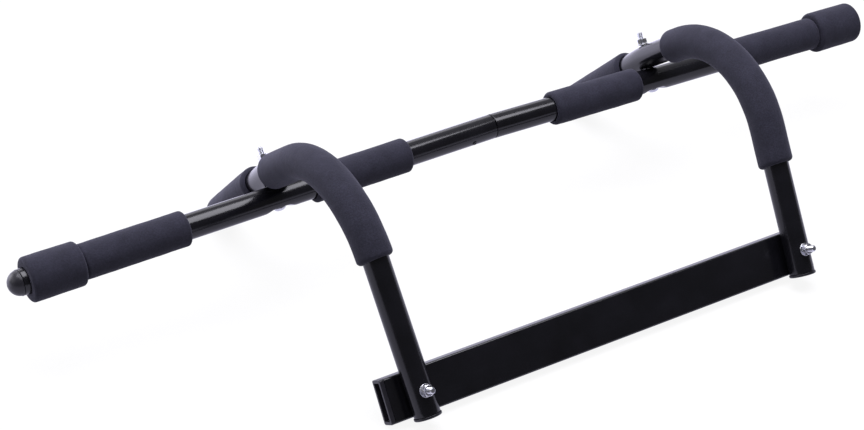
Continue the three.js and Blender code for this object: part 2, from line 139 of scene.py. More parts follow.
SHANK_R = 3
PITCH = 1
FLATS = 10
HEX_HEAD = 4
ROUND_HEAD_R = 5.8
ROUND_HEAD = 3
NUT_HEIGHT = 5
WASHER_R = 6.3
WASHER = 1.2
HOLE_CLEARANCE = 0.35
HOLE_R = SHANK_R + HOLE_CLEARANCE
LOOSE_HOLE_R = SHANK_R + 1
SKEW_GAP = 0.5  # under the heads of the crossbar's bolts, which stand askew to it
CREST_GAP = 0.6  # under a saddle washer, which is level where the arm slopes
SCREW_HOLE_R = SCREW_SHANK_R + HOLE_CLEARANCE
SADDLE_STUB = 7
LEG_STUB = 8

AROUND = 96  # points round a tube or a sleeve
SMALL_AROUND = 72  # points round a plug, a bolt or a nut
HOLE_AROUND = 32
CORNER_STEPS = 8  # round each corner of the crossbar
FOAM_STEP = 1.6  # the longest stretch of an outline, on foam
FINE_STEP = 1  # and where a tube is pressed
ARM_STEP = 4  # and on the rest of an arm


# ---- the bar's own axes ----


def bar_axes():
    """The matrix from the bar's own axes into the row frame, in metres.

    The mount face looks along the legs, and the level insert inside the seam gives the height and the
    place along the bar.
    """
    face = next(mount for mount in frame["record"]["mounts"] if mount["name"] == "ledge_face")
    tilt = math.atan2(face["axis"][1], face["axis"][2])
    low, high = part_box("joint_insert")
    insert = Vector((sum(INSERT_SPAN) / 2, 0, SEAM_RISE)) * MM
    tilted = Matrix.Translation((low + high) / 2) @ Matrix.Rotation(-tilt, 4, "X")
    return tilted @ Matrix.Translation(-insert)


def half_axes(side):
    """The matrix into the row frame from the axes of one half of the bar, turned about the seam."""
    seam = Matrix.Translation(Vector((SEAM_X, 0, SEAM_RISE)) * MM)
    droop = side * math.asin(SEAM_RISE / (SADDLE_REACH - side * SEAM_X))
    turn = Matrix.Rotation(droop, 4, "Y")
    return BAR_AXES @ seam @ turn @ Matrix.Translation(Vector((-SEAM_X, 0, 0)) * MM)


def arm_turn(name):
    """How an arm is turned about its saddle."""
    arm = ARMS[name]
    lean = Matrix.Rotation(SIDES[name] * math.radians(arm["lean"]), 4, "Y")
    return lean @ Matrix.Rotation(math.radians(arm["swing"]), 4, "Z")


def arm_axes(name):
    """The matrix into the row frame from an arm's own axes, where it lies in the YZ plane."""
    return HALVES[name] @ Matrix.Translation((ARMS[name]["x"] * MM, 0, 0)) @ arm_turn(name)


BAR_AXES = bar_axes()
HALVES = {name: half_axes(side) for name, side in SIDES.items()}
ARM_AXES = {name: arm_axes(name) for name in SIDES}


def bar_path(s):
    """Points along the bar, with the directions to the leg side and up."""
    zero, one = np.zeros_like(s), np.ones_like(s)
    points, side, out = (s, zero, zero), (zero, -one, zero), (zero, zero, one)
    return np.stack(points, -1), np.stack(side, -1), np.stack(out, -1)


def arm_path():
    """The line that the arms follow, as a function of the distance from the saddle.

    The distance is below zero on the handle, and above zero along the top, round the bend and down the
    leg. The function gives points, the sideways direction and the outward one.
    """
    bend_y = LEG_Y - BEND_R
    bend_z = ARM_RISE + math.tan(TOP_SLOPE) * bend_y - BEND_R / math.cos(TOP_SLOPE)
    turn = math.pi / 2 + TOP_SLOPE
    start_y = bend_y + BEND_R * math.cos(turn)
    top_length = start_y / math.cos(TOP_SLOPE)
    bend_length = BEND_R * turn

    def path(s):
        s = np.asarray(s, float)
        blend = np.clip((s + TOP_BLEND) / (2 * TOP_BLEND), 0, 1)
        before = np.minimum(s, -TOP_BLEND)
        after = np.clip(s, TOP_BLEND, top_length)
        y = np.where(s < 0, -before * math.cos(HANDLE_DROOP), -after * math.cos(TOP_SLOPE))
        z = np.where(s < 0, before * math.sin(HANDLE_DROOP), after * math.sin(TOP_SLOPE)) + ARM_RISE
        inside = np.abs(s) < TOP_BLEND
        y0, z0 = TOP_BLEND * math.cos(HANDLE_DROOP), ARM_RISE - TOP_BLEND * math.sin(HANDLE_DROOP)
        y1, z1 = -TOP_BLEND * math.cos(TOP_SLOPE), ARM_RISE + TOP_BLEND * math.sin(TOP_SLOPE)
        mixed = lambda a, mid, b: (1 - blend) ** 2 * a + 2 * blend * (1 - blend) * mid + blend**2 * b
        y = np.where(inside, mixed(y0, 0, y1), y)
        z = np.where(inside, mixed(z0, ARM_RISE, z1), z)
        pitch = HANDLE_DROOP + (TOP_SLOPE - HANDLE_DROOP) * blend

        around = np.clip((s - top_length) / BEND_R, 0, turn)
        bending = s > top_length
        y = np.where(bending, -(bend_y + BEND_R * np.cos(turn - around)), y)
        z = np.where(bending, bend_z + BEND_R * np.sin(turn - around), z)
        pitch = np.where(bending, TOP_SLOPE - around, pitch)
        z = z - np.maximum(s - top_length - bend_length, 0)

        zero = np.zeros_like(s)
        points = np.stack([zero, y, z], -1)
        side = np.stack([zero + 1, zero, zero], -1)
        out = np.stack([zero, np.sin(pitch), np.cos(pitch)], -1)
        return points, side, out

    path.leg_end = top_length + bend_length + (bend_z - LEG_END)
    return path


# ---- outlines ----


def filleted(corners, closed=False, steps=6):
    """An outline with round corners, from (along, radius, rounding) corners."""
    points = []
    count = len(corners)
    for i, (a, b, rounding) in enumerate(corners):
        here = np.array([a, b], float)
        if rounding == 0 or (not closed and i in (0, count - 1)):
            points.append(here)
            continue
        back = np.array(corners[i - 1][:2], float) - here
        ahead = np.array(corners[(i + 1) % count][:2], float) - here
        back, ahead = back / np.linalg.norm(back), ahead / np.linalg.norm(ahead)
        half = math.acos(np.clip(back @ ahead, -1, 1)) / 2
        centre = here + (back + ahead) / np.linalg.norm(back + ahead) * rounding / math.sin(half)
        first = here + back * rounding / math.tan(half) - centre
        last = here + ahead * rounding / math.tan(half) - centre
        sweep = math.atan2(first[0] * last[1] - first[1] * last[0], first @ last)
        for k in range(steps + 1):
            c, s = math.cos(sweep * k / steps), math.sin(sweep * k / steps)
            points.append(centre + np.array([c * first[0] - s * first[1], s * first[0] + c * first[1]]))
    return np.array(points)


def spaced(outline, step):
    """The closed outline with more points, none further apart than step, which may depend on the place."""
    step_at = step if callable(step) else lambda place: step
    points = []
    for a, b in zip(outline, np.roll(outline, -1, axis=0)):
        count = max(1, math.ceil(np.linalg.norm(b - a) / step_at((a + b) / 2)))
        points += [a + (b - a) * k / count for k in range(count)]
    return np.array(points)


def refined(outline, places, step):
    """The closed outline with rows every step millimetres inside the (from, to) places."""
    points = []
    for a, b in zip(outline, np.roll(outline, -1, axis=0)):
        cuts = {0.0, 1.0}
        span = b[0] - a[0]
        if abs(span) > step:
            for low, high in places:
                for s in np.arange(low, high + step / 2, step):
                    cuts.add(float(np.clip((s - a[0]) / span, 0, 1)))
        points += [a + (b - a) * t for t in sorted(cuts)[:-1]]
    return np.array(points)


# ---- meshes ----


def lofted(name, rings, looped=False, capped=False):
    """A closed mesh through rings of points.

    looped joins the last ring to the first, and capped closes both ends flat. A ring of zero size
    becomes one point.
    """
    rings = np.asarray(rings, float) * MM
    count, around = rings.shape[:2]
    index = np.arange(count * around).reshape(count, around)
    here = index if looped else index[:-1]
    there = np.roll(index, -1, axis=0) if looped else index[1:]
    quads = np.stack([here, np.roll(here, -1, 1), np.roll(there, -1, 1), there], -1)
    quads = quads.reshape(-1, 4).tolist()
    if capped:
        quads += [index[0][::-1].tolist(), index[-1].tolist()]
    mesh = bpy.data.meshes.new(name)
    mesh.from_pydata(rings.reshape(-1, 3).tolist(), [], quads)
    clean = bmesh.new()
    clean.from_mesh(mesh)
    bmesh.ops.remove_doubles(clean, verts=clean.verts, dist=1e-7)
    bmesh.ops.recalc_face_normals(clean, faces=clean.faces)
    clean.to_mesh(mesh)
    clean.free()
    piece = bpy.data.objects.new(name, mesh)
    bpy.context.collection.objects.link(piece)
    return piece


def swept(path, outline, around=AROUND, change=None):
    """Rings of points round a path, from an outline of (distance, radius) points.

    change(distance, angle, radius) gives other distances and radii.
    """
    s = np.repeat(outline[:, 0:1], around, axis=1)
    angle = np.broadcast_to(np.arange(around) / around * 2 * math.pi, s.shape)
    r = np.broadcast_to(outline[:, 1:2], s.shape)
    if change:
        s, r = change(s, angle, r)
    points, side, out = path(s)
    return points + r[..., None] * (np.cos(angle)[..., None] * side + np.sin(angle)[..., None] * out)


def moved(rings, matrix):
    """Rings of points carried by a matrix."""
    turn = np.array(matrix.to_3x3())
    return rings @ turn.T + np.array(matrix.translation)


def finish_piece(piece, axes, material, sharp=30):
    """Carries the piece into the row frame and puts it on the body, in place of its CAD node."""
    mesh = piece.data
    mesh.transform(axes)
    mesh.materials.clear()
    mesh.materials.append(material)
    mesh.polygons.foreach_set("use_smooth", [True] * len(mesh.polygons))
    mesh.set_sharp_from_angle(angle=math.radians(sharp))
    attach(piece, "root")
    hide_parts(piece.name.removesuffix("_fine"))
    return piece


def drilled(piece, holes):
    """The piece with round holes cut through it, from (start, end, radius)."""
    cutters = []
    for start, end, radius in holes:
        start, end = Vector(start), Vector(end)
        turn = (end - start).to_track_quat("Z", "Y").to_matrix().to_4x4()
        angle = np.arange(HOLE_AROUND) / HOLE_AROUND * 2 * math.pi
        ring = np.stack([np.cos(angle) * radius, np.sin(angle) * radius, 0 * angle], -1)
        rings = np.stack([ring, ring + [0, 0, (end - start).length]])
        cutter = lofted("cutter", moved(rings, Matrix.Translation(start) @ turn), capped=True)
        cut = piece.modifiers.new("hole", "BOOLEAN")
        cut.object, cut.operation, cut.solver = cutter, "DIFFERENCE", "EXACT"
        cutters.append(cutter)
    graph = bpy.context.evaluated_depsgraph_get()
    mesh = bpy.data.meshes.new_from_object(piece.evaluated_get(graph))
    piece.modifiers.clear()
    piece.data = mesh
    for cutter in cutters:
        bpy.data.objects.remove(cutter)
    return piece


def soft_max(a, b, softness):
    """The larger of two, blended where they are close."""
    return (a + b + np.sqrt((a - b) ** 2 + softness**2)) / 2


def uneven(rings, size, seed):
    """Smooth noise from -1 to 1 at each point of the rings, with lumps of the given size in millimetres."""
    flat = rings.reshape(-1, 3) / size + seed
    return np.array([noise.noise(Vector(p)) for p in flat]).reshape(rings.shape[:2])


# ---- materials ----


class Shader:
    """A node material with one Principled shader, and short calls for the nodes that feed it."""

    def __init__(self, name, **sockets):
        self.material = bpy.data.materials.new(name)
        self.material.use_nodes = True
        self.nodes, self.links = self.material.node_tree.nodes, self.material.node_tree.links
        self.surface = self.nodes["Principled BSDF"]
        for socket, value in sockets.items():
            self.surface.inputs[socket.replace("_", " ")].default_value = value
        self.place = self.nodes.new("ShaderNodeTexCoord").outputs["Object"]

    def stretched(self, scale, turn=(0, 0, 0)):
        """Coordinates turned and then scaled by different amounts along X, Y and Z."""
        node = self.nodes.new("ShaderNodeMapping")
        node.inputs["Rotation"].default_value = turn
        node.inputs["Scale"].default_value = scale
        self.links.new(self.place, node.inputs["Vector"])
        return node.outputs["Vector"]

    def noise(self, scale, detail=2.0, roughness=0.5, place=None):
        node = self.nodes.new("ShaderNodeTexNoise")
        node.inputs["Scale"].default_value = scale
        node.inputs["Detail"].default_value = detail
        node.inputs["Roughness"].default_value = roughness
        self.links.new(place or self.place, node.inputs["Vector"])
        return node.outputs["Fac"]

    def cells(self, scale):
        node = self.nodes.new("ShaderNodeTexVoronoi")
        node.feature = "F1"
        node.inputs["Scale"].default_value = scale
        self.links.new(self.place, node.inputs["Vector"])
        return node.outputs["Distance"]

    def ramp(self, value, *stops):
        """Colours or grey levels for a value, from (place, colour) stops."""
        node = self.nodes.new("ShaderNodeValToRGB")
        band = node.color_ramp
        while len(band.elements) < len(stops):
            band.elements.new(0.5)
        for element, (place, colour) in zip(band.elements, stops):
            element.position = place
            element.color = (*colour, 1) if isinstance(colour, tuple) else (colour, colour, colour, 1)
        self.links.new(value, node.inputs["Fac"])
        return node.outputs["Color"]

    def mixed(self, share, first, second, kind="MIX"):
        node = self.nodes.new("ShaderNodeMix")
        node.data_type, node.blend_type = "RGBA", kind
        for value, socket in ((share, 0), (first, 6), (second, 7)):
            if isinstance(value, (int, float)):
                node.inputs[socket].default_value = value
            elif isinstance(value, tuple):
                node.inputs[socket].default_value = (*value, 1)
            else:
                self.links.new(value, node.inputs[socket])
        return node.outputs[2]

    def maths(self, kind, first, second):
        node = self.nodes.new("ShaderNodeMath")
        node.operation = kind
        for value, socket in zip((first, second), node.inputs):
            if isinstance(value, (int, float)):
                socket.default_value = value
            else:
                self.links.new(value, socket)
        return node.outputs[0]

    def worn_edges(self, radius, low, high):
        """A mask that is 1 along sharp convex edges, broken up by noise."""
        bevel = self.nodes.new("ShaderNodeBevel")
        bevel.samples = 4
        bevel.inputs["Radius"].default_value = radius
        plain = self.nodes.new("ShaderNodeNewGeometry")
        dot = self.nodes.new("ShaderNodeVectorMath")
        dot.operation = "DOT_PRODUCT"
        self.links.new(bevel.outputs["Normal"], dot.inputs[0])
        self.links.new(plain.outputs["Normal"], dot.inputs[1])
        edge = self.maths("SUBTRACT", 1.0, dot.outputs["Value"])
        broken = self.maths("MULTIPLY", edge, self.ramp(self.noise(260, 4), (0.35, 0.2), (0.7, 1.0)))
        return self.ramp(broken, (low, 0.0), (high, 1.0))

    def bumped(self, height, distance, strength=1.0, after=None):
        node = self.nodes.new("ShaderNodeBump")
        node.inputs["Distance"].default_value = distance
        node.inputs["Strength"].default_value = strength
        self.links.new(height, node.inputs["Height"])
        if after:
            self.links.new(after, node.inputs["Normal"])
        return node.outputs["Normal"]

    def feed(self, **outputs):
        for socket, output in outputs.items():
            self.links.new(output, self.surface.inputs[socket.replace("_", " ")])
        return self.material


def gloss_black():
    """Black powder coat: soft orange peel, faint rubbed streaks along the bar and worn edges."""
    shader = Shader("gloss_black", Specular_IOR_Level=0.5)
    tilt = BAR_AXES.to_euler().x
    streaks = shader.noise(1, 3, 0.6, shader.stretched((18, 900, 900), (-tilt, 0, 0)))
    patches = shader.noise(28, 3, 0.55)
    peel = shader.noise(420, 2, 0.5)
    tone = shader.ramp(patches, (0.3, (0.0045, 0.0045, 0.0060)), (0.7, (0.0085, 0.0083, 0.0115)))
    worn = shader.worn_edges(0.0009, 0.04, 0.30)
    colour = shader.mixed(worn, tone, (0.055, 0.055, 0.064))
    rough = shader.ramp(shader.mixed(0.45, patches, streaks), (0.30, 0.13), (0.72, 0.235))
    bump = shader.bumped(peel, 0.00004, 0.5)
    bump = shader.bumped(streaks, 0.00001, 0.35, bump)
    return shader.feed(Base_Color=colour, Roughness=rough, Normal=bump)


def charcoal_foam():
    """Closed-cell foam: fine pores with painted shade in their hollows, a grain and a soft mottle, with a
    pale bloom at grazing angles.
    """
    shader = Shader("charcoal_foam", Sheen_Weight=0.22, Sheen_Roughness=0.45, Specular_IOR_Level=0.28)
    shader.surface.inputs["Sheen Tint"].default_value = (0.66, 0.65, 0.86, 1)
    mottle = shader.noise(70, 3, 0.6)
    grain = shader.noise(620, 3, 0.65)
    pores = shader.cells(1250)
    tone = shader.ramp(mottle, (0.28, (0.0250, 0.0246, 0.0385)), (0.72, (0.0352, 0.0345, 0.0535)))
    specks = shader.ramp(grain, (0.34, 0.70), (0.66, 1.18))
    colour = shader.mixed(1.0, tone, specks, "MULTIPLY")
    # painted shade: the colour darkens towards each pore's centre, standing in for shade in its hollow
    pore_shade = shader.ramp(pores, (0.0, 0.35), (0.30, 1.0))
    colour = shader.mixed(0.55, colour, shader.mixed(1.0, colour, pore_shade, "MULTIPLY"))
    rough = shader.ramp(grain, (0.3, 0.80), (0.7, 0.95))
    bump = shader.bumped(shader.noise(160, 3, 0.6), 0.0005, 0.35)
    bump = shader.bumped(grain, 0.00035, 0.6, bump)
    bump = shader.bumped(pores, 0.00018, 0.5, bump)
    return shader.feed(Base_Color=colour, Roughness=rough, Normal=bump)


def black_plastic():
    """Satin moulded plastic with a fine spark-eroded texture and slightly rubbed edges."""
    shader = Shader("black_plastic", Specular_IOR_Level=0.5)
    patches = shader.noise(55, 3, 0.55)
    grain = shader.noise(1500, 2, 0.6)
    tone = shader.ramp(patches, (0.3, (0.014, 0.0135, 0.018)), (0.7, (0.024, 0.023, 0.030)))
    worn = shader.worn_edges(0.0007, 0.04, 0.30)
    colour = shader.mixed(worn, tone, (0.06, 0.06, 0.07))
    rough = shader.ramp(shader.mixed(0.4, patches, grain), (0.32, 0.30), (0.70, 0.44))
    bump = shader.bumped(grain, 0.00005, 0.6)
    return shader.feed(Base_Color=colour, Roughness=rough, Normal=bump)


def zinc_plate():
    """Bright zinc plating: bluish and straw-coloured patches, fine tool marks and dull spots."""
    shader = Shader("zinc_plate", Metallic=1.0)
    patches = shader.noise(240, 3, 0.6)
    marks = shader.noise(2600, 3, 0.6)
    tone = shader.ramp(
        patches, (0.25, (0.60, 0.62, 0.70)), (0.5, (0.74, 0.75, 0.79)), (0.8, (0.80, 0.78, 0.72))
    )
    rough = shader.ramp(shader.mixed(0.5, patches, marks), (0.3, 0.17), (0.7, 0.36))
    bump = shader.bumped(marks, 0.00003, 0.6)
    return shader.feed(Base_Color=tone, Roughness=rough, Normal=bump)


PAINT, FOAM, PLASTIC, ZINC = gloss_black(), charcoal_foam(), black_plastic(), zinc_plate()


# ---- the main bar ----


def crimped(rings, radii, centre_x):
    """The flat pressed into the bar's underside round a saddle bolt."""
    away = np.abs(rings[..., 0] - centre_x)
    ease = np.clip((away - CRIMP_FLAT) / (CRIMP_HALF_LENGTH - CRIMP_FLAT), 0, 1)
    depth = CRIMP_DEPTH * np.cos(ease * math.pi / 2) ** 2
    softness = CRIMP_SOFTNESS * depth / CRIMP_DEPTH
    flat = soft_max(rings[..., 2], depth - radii, softness)
    pressed = rings.copy()
    pressed[..., 2] = np.where(away < CRIMP_HALF_LENGTH, flat, rings[..., 2])
    return pressed


def main_tube(name, start, end, arm_x, holes, axes):
    corners = [(start, BORE_R, 0.4), (start, TUBE_R, 0.7), (end, TUBE_R, 0.7), (end, BORE_R, 0.4)]
    outline = filleted(corners, closed=True)
    outline = refined(outline, [(arm_x - CRIMP_HALF_LENGTH - 2, arm_x + CRIMP_HALF_LENGTH + 2)], FINE_STEP)
    rings = swept(bar_path, outline)
    rings = crimped(rings, outline[:, 1:2], arm_x)
    piece = lofted(f"{name}_fine", rings, looped=True)
    bolt_hole = ((arm_x, 0, -2 * TUBE_R), (arm_x, 0, 2 * TUBE_R), LOOSE_HOLE_R)
    drilled(piece, [bolt_hole, *holes])
    return finish_piece(piece, axes, PAINT)


def screw_direction():
    angle = math.radians(SCREW_ANGLE)
    return Vector((0, -math.cos(angle), -math.sin(angle)))


def joint_screw():
    """Small black screw with a hexagon socket, nearly flush beside the seam."""
    low = TUBE_R + GAP
    side_top = low + SCREW_HEAD_SIDE
    rows = [(INSERT_R - 2 * TUBE_WALL, 0), (INSERT_R - 2 * TUBE_WALL, SCREW_SHANK_R), (low, SCREW_SHANK_R)]
    rows += [(low, SCREW_HEAD_R - 0.08), (low + 0.08, SCREW_HEAD_R), (side_top, SCREW_HEAD_R)]
    for k in range(1, 7):
        angle = k / 6 * math.radians(55)
        rows.append((side_top + SCREW_HEAD_DOME * math.sin(angle), SCREW_HEAD_R * math.cos(angle)))
    rim = rows[-1][0]
    angle = np.arange(48) / 48 * 2 * math.pi
    hexagon = SCREW_SOCKET_R / np.cos((angle + math.pi / 6) % (math.pi / 3) - math.pi / 6)
    rows += [(rim, hexagon + 0.1), (rim - 0.1, hexagon), (low - 0.6, hexagon), (low - 0.7, 0)]
    local = np.stack([np.stack([np.cos(angle) * r, np.sin(angle) * r, 0 * angle + h], -1) for h, r in rows])
    turn = screw_direction().to_track_quat("Z", "X").to_matrix().to_4x4()
    piece = lofted("joint_screw_fine", moved(local, Matrix.Translation((SCREW_X, 0, 0)) @ turn))
    return finish_piece(piece, HALVES["left"], PAINT)


def joint_insert():
    inner = INSERT_R - TUBE_WALL
    start, end = INSERT_SPAN
    corners = [(start, inner, 0.3), (start, INSERT_R, 0.6), (end, INSERT_R, 0.6), (end, inner, 0.3)]
    piece = lofted("joint_insert_fine", swept(bar_path, filleted(corners, closed=True)), looped=True)
    at = Vector((SCREW_X, 0, 0))
    drilled(piece, [(at, at + screw_direction() * 2 * TUBE_R, SCREW_SHANK_R + SCREW_PLAY)])
    return finish_piece(piece, BAR_AXES @ Matrix.Translation((0, 0, SEAM_RISE * MM)), ZINC)


def end_cap(name, side, axes):
    """Domed plug: a spigot, a thin rim, and a dome with the mark of the mould's gate at its tip."""
    spigot = BORE_R - GAP
    rim = TUBE_END + GAP
    corners = [(TUBE_END - PLUG_SPIGOT, 0, 0), (TUBE_END - PLUG_SPIGOT, spigot, 0.8), (rim, spigot, 0)]
    corners += [(rim, TUBE_R, 0.35), (rim + CAP_RIM, TUBE_R, 0.2), (rim + CAP_RIM, CAP_NECK_R, 0.15)]
    outline = filleted(corners + [(rim + CAP_NECK, CAP_NECK_R, 0)], steps=4)
    foot = math.asin(CAP_NECK / DOME_HEIGHT)
    dome = []
    for k in range(25):
        angle = foot + (math.pi / 2 - foot) * k / 24
        dome.append((rim + (DOME_HEIGHT - 0.15) * math.sin(angle), (TUBE_R - 0.35) * math.cos(angle)))
    dome[-1] = (dome[-1][0], 0)
    gate = [(HALF_LENGTH - 0.2, 1.1), (HALF_LENGTH - 0.45, 0.9), (HALF_LENGTH - 0.45, 0)]
    outline = np.array([*outline, *[p for p in dome if p[1] > GATE_R], *gate])
    outline[:, 0] *= side
    piece = lofted(f"{name}_fine", swept(bar_path, outline, SMALL_AROUND))
    return finish_piece(piece, axes, PLASTIC, 40)


# ---- foam ----

SKIN_LUMPS = ((0.30, 46, 0), (0.16, 15, 7), (0.07, 5, 13))  # height, size and seed of each
SKIN_DROP = 0.22  # of the skin's mean level below the outline
PAD_LEANS = (1.0, -2.2)  # of an arm pad's two ends, upper and lower
PAD_SWELL = 0.1


def foam_sleeve(name, path, start, end, outer, seed, axes, skew=None, swell=0.0, edge=FOAM_EDGE):
    """A foam sleeve with soft rounded ends and a slightly uneven skin.

    skew(angle, share) says how far its end faces lean, and share runs from 0 at the start to 1 at the
    end. swell is added to the radius near both ends.
    """
    corners = [(start, FOAM_BORE_R, 0.5), (start, outer, edge), (end, outer, edge), (end, FOAM_BORE_R, 0.5)]
    outline = filleted(corners, closed=True, steps=8)
    outline = spaced(outline, lambda place: FOAM_STEP if place[1] > FOAM_BORE_R + 0.1 else 6)
    depth = np.clip((outline[:, 1] - FOAM_BORE_R) / (outer - FOAM_BORE_R), 0, 1)[:, None]
    share = (outline[:, 0:1] - start) / (end - start)

    def change(s, angle, r):
        lean = skew(angle, share) if skew else 0
        return s + lean, r

    rings = swept(path, outline, change=change)
    points = path(np.broadcast_to(outline[:, 0:1], rings.shape[:2]))[0]
    radial = rings - points
    radial = radial / np.linalg.norm(radial, axis=-1, keepdims=True)
    lumps = sum(height * uneven(rings, size, seed + offset) for height, size, offset in SKIN_LUMPS)
    ends = np.exp(-(np.minimum(outline[:, 0:1] - start, end - outline[:, 0:1]) / 9.0))
    height = (lumps - SKIN_DROP + swell * ends) * depth
    rings = rings + radial * height[..., None]
    piece = lofted(f"{name}_fine", rings, looped=True)
    finish_piece(piece, axes, FOAM, 60)
    return piece


def end_lean(start_lean, end_lean_mm, direction=0.0):
    """A skew by start_lean and end_lean_mm where the angle is direction, and the other way opposite."""

    def skew(angle, share):
        wave = np.cos(angle - direction)
        near_start, near_end = np.clip(1 - 4 * share, 0, 1), np.clip(4 * share - 3, 0, 1)
        return wave * (start_lean * near_start + end_lean_mm * near_end)

    return skew


def bar_foam(name, side):
    kinds = [
        ("end_pad", PAD_R, end_lean(0.0, 0.3)),
        ("wide_grip", GRIP_R, end_lean(0.5, 0.0, math.radians(-80))),
        ("close_grip", GRIP_R, end_lean(0.4, 0.4, 1.0)),
    ]
    for number, (kind, radius, skew) in enumerate(kinds):
        near, far = FOAM_SPANS[name][kind]
        start, end = (near, far) if side > 0 else (-far, -near)
        seed = 3.1 * number + 11 * side
        foam_sleeve(f"{kind}_{name}", bar_path, start, end, radius, seed, HALVES[name], skew)


# ---- the arms ----


def pressed_saddle(rings, radii, turn):
    """The arm's underside pressed up to sit on the bar, which runs a little askew to the arm."""
    on_bar = moved(rings, turn)
    y = on_bar[..., 1]
    seat = np.sqrt(np.maximum(SEAT_R**2 - y**2, 0)) + (TUBE_R - radii)
    under = (on_bar[..., 2] < ARM_RISE) & (np.abs(y) < SEAT_R)
    on_bar[..., 2] = np.where(under, soft_max(on_bar[..., 2], seat, SADDLE_SOFTNESS), on_bar[..., 2])
    return moved(on_bar, turn.inverted())


def arm_tube(name):
    path = arm_path()
    start, end = -HANDLE_LENGTH, path.leg_end
    corners = [(start, BORE_R, 0.3), (start, TUBE_R, 0.6), (end, TUBE_R, 0.6), (end, BORE_R, 0.3)]
    outline = filleted(corners, closed=True)
    outline = spaced(refined(outline, [SADDLE_SPAN], FINE_STEP), ARM_STEP)
    rings = pressed_saddle(swept(path, outline), outline[:, 1:2], arm_turn(name))
    piece = lofted(f"arm_tube_{name}_fine", rings, looped=True)
    holes = [
        ((0, 0, 0), (0, 0, ARM_RISE + 2 * TUBE_R), HOLE_R),
        ((0, 0, LEG_BOLT_Z), (0, -LEG_Y - 2 * TUBE_R, LEG_BOLT_Z), HOLE_R),
    ]
    drilled(piece, holes)
    return finish_piece(piece, ARM_AXES[name], PAINT)


def arm_foam(name, side):
    path = arm_path()
    axes = ARM_AXES[name]
    start = ARM_PAD_STARTS[name]
    end = start + ARM_PAD_LENGTH
    near, far = HANDLE_FOAM

    def pad_skew(angle, share):
        outer = np.sin(angle)
        near_start, near_end = np.clip(1 - 5 * share, 0, 1), np.clip(5 * share - 4, 0, 1)
        return PAD_LEANS[1] * outer * near_end + PAD_LEANS[0] * outer * near_start

    seed = 23 + 4.4 * side
    foam_sleeve(f"arm_pad_{name}", path, start, end, GRIP_R, seed, axes, pad_skew, PAD_SWELL, SOFT_EDGE)

    def along_handle(s):
        return path(-s)

    seed = 41 + 4.4 * side
    lean = end_lean(0.5, 0.0, 1.2)
    grip = f"handle_grip_{name}"
    foam_sleeve(grip, along_handle, near, far, GRIP_R, seed, axes, lean, edge=SOFT_EDGE)


def tube_plug(name, flange, rim_r, matrix, axes):
    """A plug for an open tube end, with a soft-edged rim and a shallow dish in its face."""
    spigot = BORE_R - GAP
    top = GAP + flange
    corners = [(-PLUG_SPIGOT, 0, 0), (-PLUG_SPIGOT, spigot, 0.8), (GAP, spigot, 0), (GAP, rim_r, 0.3)]
    dish = top - 0.5
    corners += [(top, rim_r, 1.0), (top, 8.6, 0.4), (dish, 7.8, 0.4), (dish, 0, 0)]
    piece = lofted(f"{name}_fine", moved(from_rows(filleted(corners, steps=5)), matrix))
    return finish_piece(piece, axes, PLASTIC, 40)


# ---- bolts, nuts and washers ----

NUT_TURNS = {"left": 17, "right": 41}  # degrees, how each side's nuts happen to stand


def hexagon_radii():
    """The radius of a hexagon with slightly rounded corners at each angle."""
    angle = np.arange(SMALL_AROUND) / SMALL_AROUND * 2 * math.pi
    sharp = FLATS / 2 / np.cos((angle + math.pi / 6) % (math.pi / 3) - math.pi / 6)
    return np.minimum(sharp, FLATS / math.sqrt(3) * 0.985)


def hexagon_rows(low, high, both_ends):
    """(height, radii) rows of a hexagonal prism whose low end, or both ends, are turned to a cone."""
    hexagon = hexagon_radii()
    face = FLATS / 2 * 0.95
    cone = math.tan(math.radians(60))
    steps = [0, 0.08, 0.16, 0.25, 0.4, 0.6, 0.8, 1.1]
    rows = [(low + d, np.minimum(hexagon, face + d * cone)) for d in steps]
    if not both_ends:
        return rows + [(high, hexagon)]
    return rows + [(high - d, np.minimum(hexagon, face + d * cone)) for d in steps[::-1]]


def round_head_rows():
    """Rings of a low round head under z = 0, from its crown up."""
    none = np.zeros(SMALL_AROUND)
    rows = []
    for k in range(13):
        angle = k / 12 * math.radians(84)
        rows.append((-ROUND_HEAD * math.cos(angle), none + ROUND_HEAD_R * math.sin(angle)))
    return rows + [(-0.2, none + ROUND_HEAD_R), (0, none + ROUND_HEAD_R - 0.2)]


def hexagon_head_rows():
    """Rings of a bevelled hexagonal head under z = 0, from its face up."""
    none = np.zeros(SMALL_AROUND)
    return [(-HEX_HEAD, none), (-HEX_HEAD, none + FLATS / 2 * 0.8), *hexagon_rows(-HEX_HEAD, 0, False)]


def thread_rows(low, high):
    """Rings of a screw thread with a chamfered tip, as (height, radii) rows from low to high."""
    angle = np.arange(SMALL_AROUND) / SMALL_AROUND * 2 * math.pi
    depth = 0.58 * PITCH
    rows = []
    for height in np.arange(low, high + 1e-6, PITCH / 10):
        turn = (height / PITCH - angle / (2 * math.pi)) % 1
        tooth = np.clip(np.abs(turn * 2 - 1) * 1.25 - 0.1, 0, 1)
        fade = min(1, (height - low) / PITCH)
        tip = SHANK_R - 0.9 * PITCH + (high - height)
        rows.append((height, np.minimum(SHANK_R - depth * tooth * fade, tip)))
    return rows


def from_rows(rows):
    """Rings about the Z axis from (height, radii) rows."""
    angle = np.arange(SMALL_AROUND) / SMALL_AROUND * 2 * math.pi
    return np.stack([np.stack([np.cos(angle) * r, np.sin(angle) * r, 0 * angle + h], -1) for h, r in rows])


